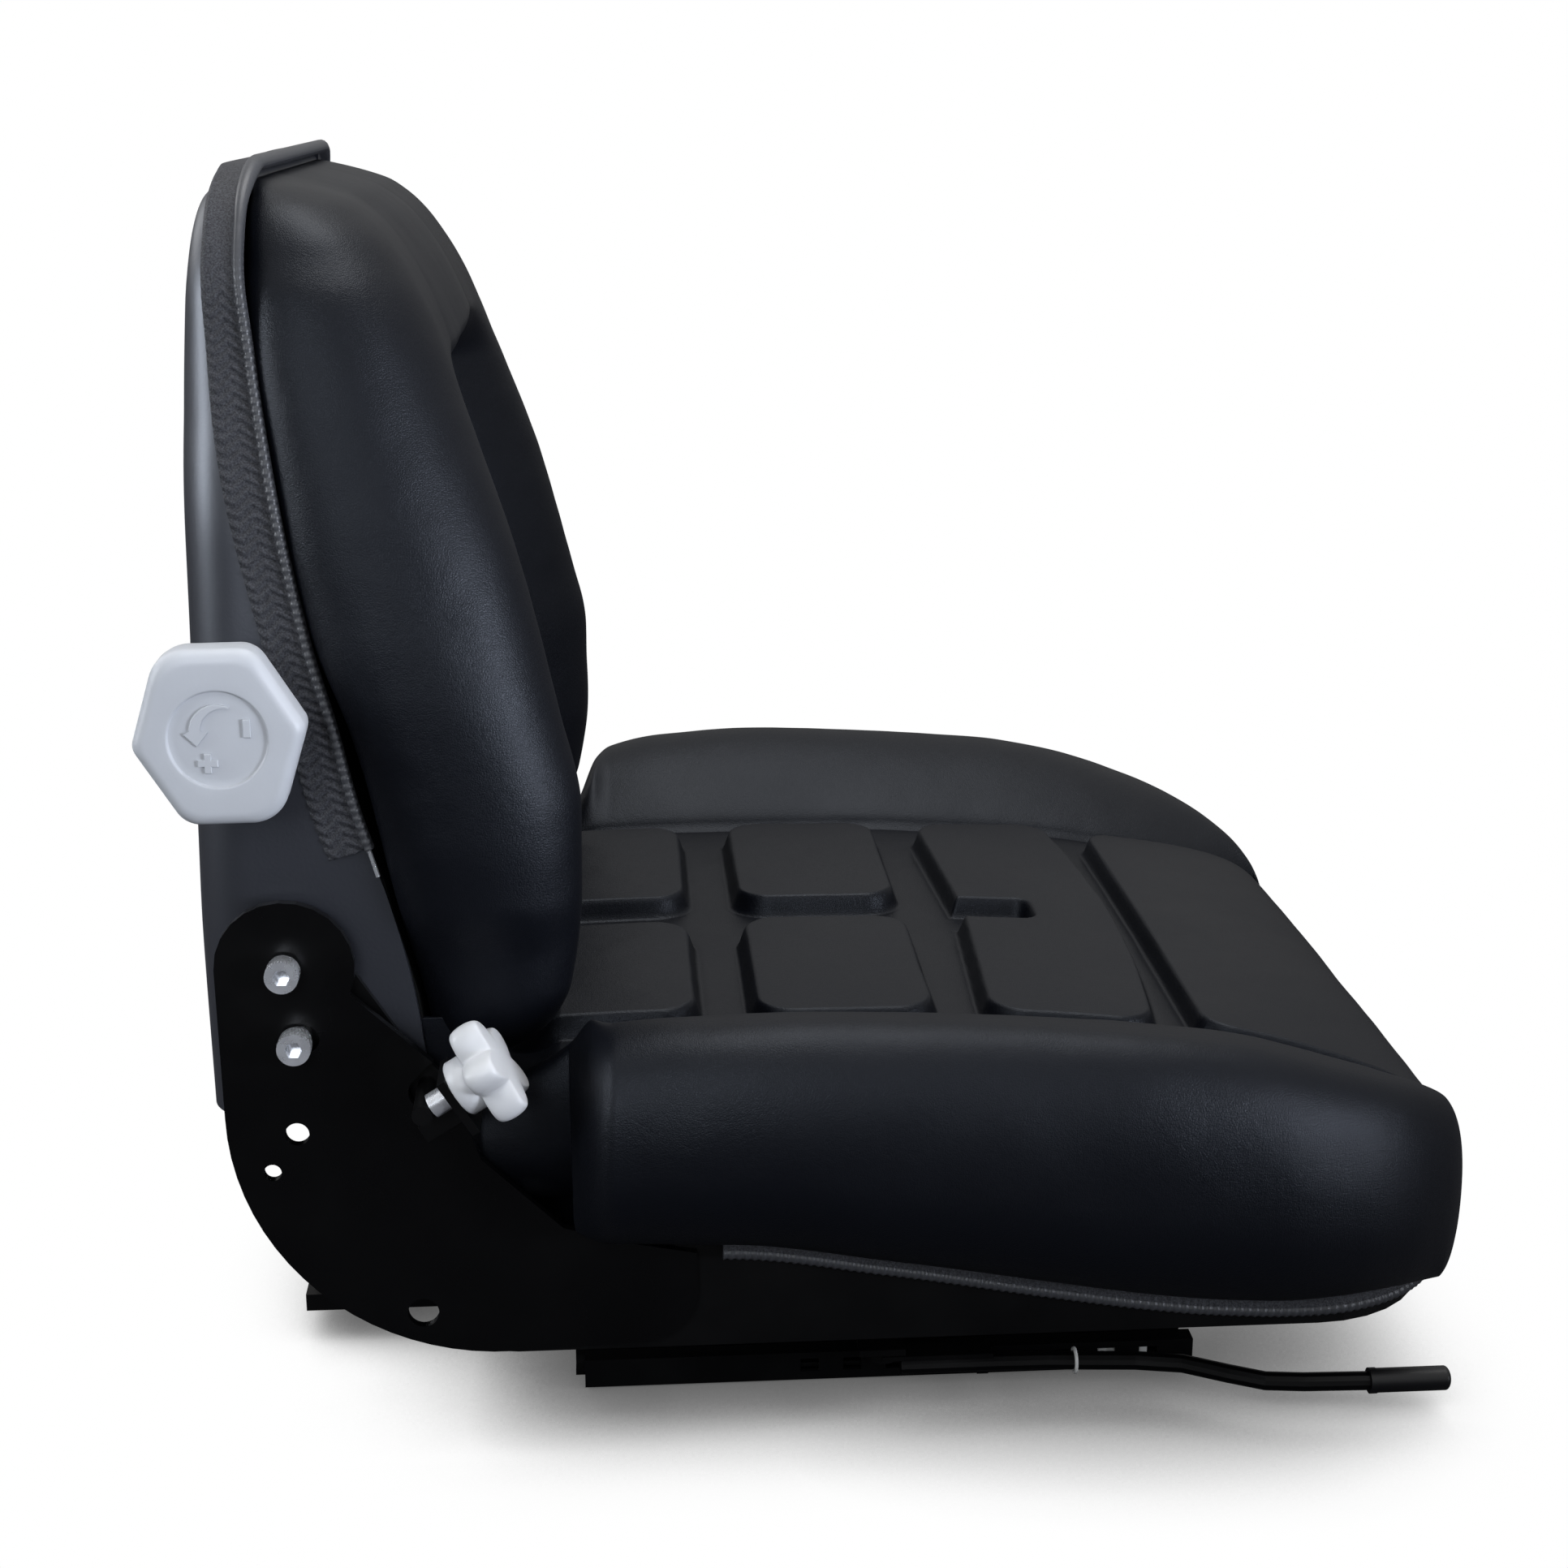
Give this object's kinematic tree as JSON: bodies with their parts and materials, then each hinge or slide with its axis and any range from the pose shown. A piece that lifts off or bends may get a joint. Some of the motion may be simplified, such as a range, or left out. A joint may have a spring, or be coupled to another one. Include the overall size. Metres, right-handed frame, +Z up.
{
  "type": "tractor suspension seat",
  "caption": "Compact tractor seat with bolstered cushions, a suspension built into the backrest, a weight knob, a recline star knob and slide rails with a lever.",
  "frame": {"origin": "centre of the four rail fixing holes, on the face the rails stand on", "axes": "+X to the front of the seat, +Y to the left of a person sitting on it, +Z up"},
  "size_m": [0.5309, 0.494, 0.5167],
  "materials": {
    "black_steel": "semi-gloss black paint",
    "plate_black": "gloss black paint",
    "bright_zinc": "bright zinc plate",
    "spring_steel": "oiled spring steel",
    "black_rubber": "matt black rubber",
    "nylon": "natural nylon",
    "grip": "soft black plastic",
    "hex_grey": "satin light grey plastic",
    "star_white": "satin white plastic",
    "vinyl": "black grained vinyl with a soft sheen",
    "piping": "dark grey herringbone textile with a stitched bead",
    "shell": "dark moulded plastic with a silvery sheen",
    "board": "black lined plywood"
  },
  "bodies": {
    "rails": {"lower_rail_right": "black_steel", "lower_rail_left": "black_steel"},
    "base": {"upper_rail_right": "black_steel", "upper_rail_left": "black_steel", "slide_shoes": "nylon", "base_frame": "black_steel", "guide_posts": "bright_zinc", "post_tie": "black_steel", "spring_collars": "bright_zinc", "rebound_rings": "black_rubber", "latch_bracket": "black_steel", "spring_right": "spring_steel", "spring_left": "spring_steel"},
    "lever": {"lever_latch": "black_steel", "lever_rod": "black_steel", "lever_grip": "grip", "lever_clip": "nylon"},
    "seat": {"lower_beam": "black_steel", "upper_beam": "black_steel", "beam_uprights": "black_steel", "guide_bushes": "nylon", "gearbox": "black_steel", "side_plate_right": "plate_black", "side_plate_left": "plate_black", "seat_pan": "black_steel", "seat_cushion": "vinyl", "cushion_tail": "vinyl", "seat_trim": "piping", "bump_stops": "black_rubber", "pan_screws": "bright_zinc", "star_bracket": "black_steel"},
    "adjuster": {"weight_knob": "hex_grey", "knob_shaft": "bright_zinc"},
    "lead_screw": {"preload_screw": "bright_zinc"},
    "preload": {"preload_bar": "black_steel"},
    "star_screw": {"star_stud": "bright_zinc"},
    "star_head": {"star_knob": "star_white"},
    "backrest": {"back_shell": "shell", "back_board": "board", "back_cushion": "vinyl", "back_trim": "piping", "back_bracket_right": "black_steel", "back_bracket_left": "black_steel", "pivot_screws": "bright_zinc", "screw_sleeves": "bright_zinc", "stop_pin": "black_steel", "rim_ends": "bright_zinc"}
  },
  "joints": [
    {"name": "fore_aft", "type": "slide", "parent": "rails", "child": "base", "axis": [1, 0, 0], "range_m": [-0.075, 0.075]},
    {"name": "rail_lever", "type": "hinge", "parent": "base", "child": "lever", "pos_m": [-0.006, -0.147, 0.0175], "axis": [0, 0, -1], "range_deg": [-4, 10], "stiffness_Nm_per_rad": 2, "springref_deg": -5.73},
    {"name": "suspension_travel", "type": "slide", "parent": "base", "child": "seat", "axis": [0, 0, -1], "range_m": [0, 0.026], "stiffness_N_per_m": 30000, "springref_m": -0.008, "deforming": ["spring_right", "spring_left"]},
    {"name": "weight_knob", "type": "hinge", "parent": "seat", "child": "adjuster", "pos_m": [-0.2595, 0, 0.3175], "axis": [0, 1, 0], "range_deg": [-1, 1081]},
    {"name": "lead_screw_turn", "type": "hinge", "parent": "seat", "child": "lead_screw", "pos_m": [-0.2595, 0, 0.25], "axis": [0, 0, 1], "range_deg": [-1, 1081]},
    {"name": "preload_drop", "type": "slide", "parent": "seat", "child": "preload", "axis": [0, 0, -1], "range_m": [0, 0.0075]},
    {"name": "backrest_recline", "type": "hinge", "parent": "seat", "child": "backrest", "pos_m": [-0.245, 0, 0.217], "axis": [0, -1, 0], "range_deg": [0, 6]},
    {"name": "star_feed", "type": "slide", "parent": "seat", "child": "star_screw", "axis": [0.848, 0, 0.5299], "range_m": [0, 0.008]},
    {"name": "star_turn", "type": "hinge", "parent": "star_screw", "child": "star_head", "pos_m": [-0.1658, -0.209, 0.1804], "axis": [0.848, 0, 0.5299], "range_deg": [-1, 1845]}
  ],
  "couplings": [
    {"joint": "weight_knob", "follows": "preload_drop", "rad_per_m": 2513.3},
    {"joint": "lead_screw_turn", "follows": "preload_drop", "rad_per_m": 2513.3},
    {"joint": "star_feed", "follows": "backrest_recline", "m_per_rad": 0.0732},
    {"joint": "star_turn", "follows": "backrest_recline", "ratio": 306.62}
  ]
}
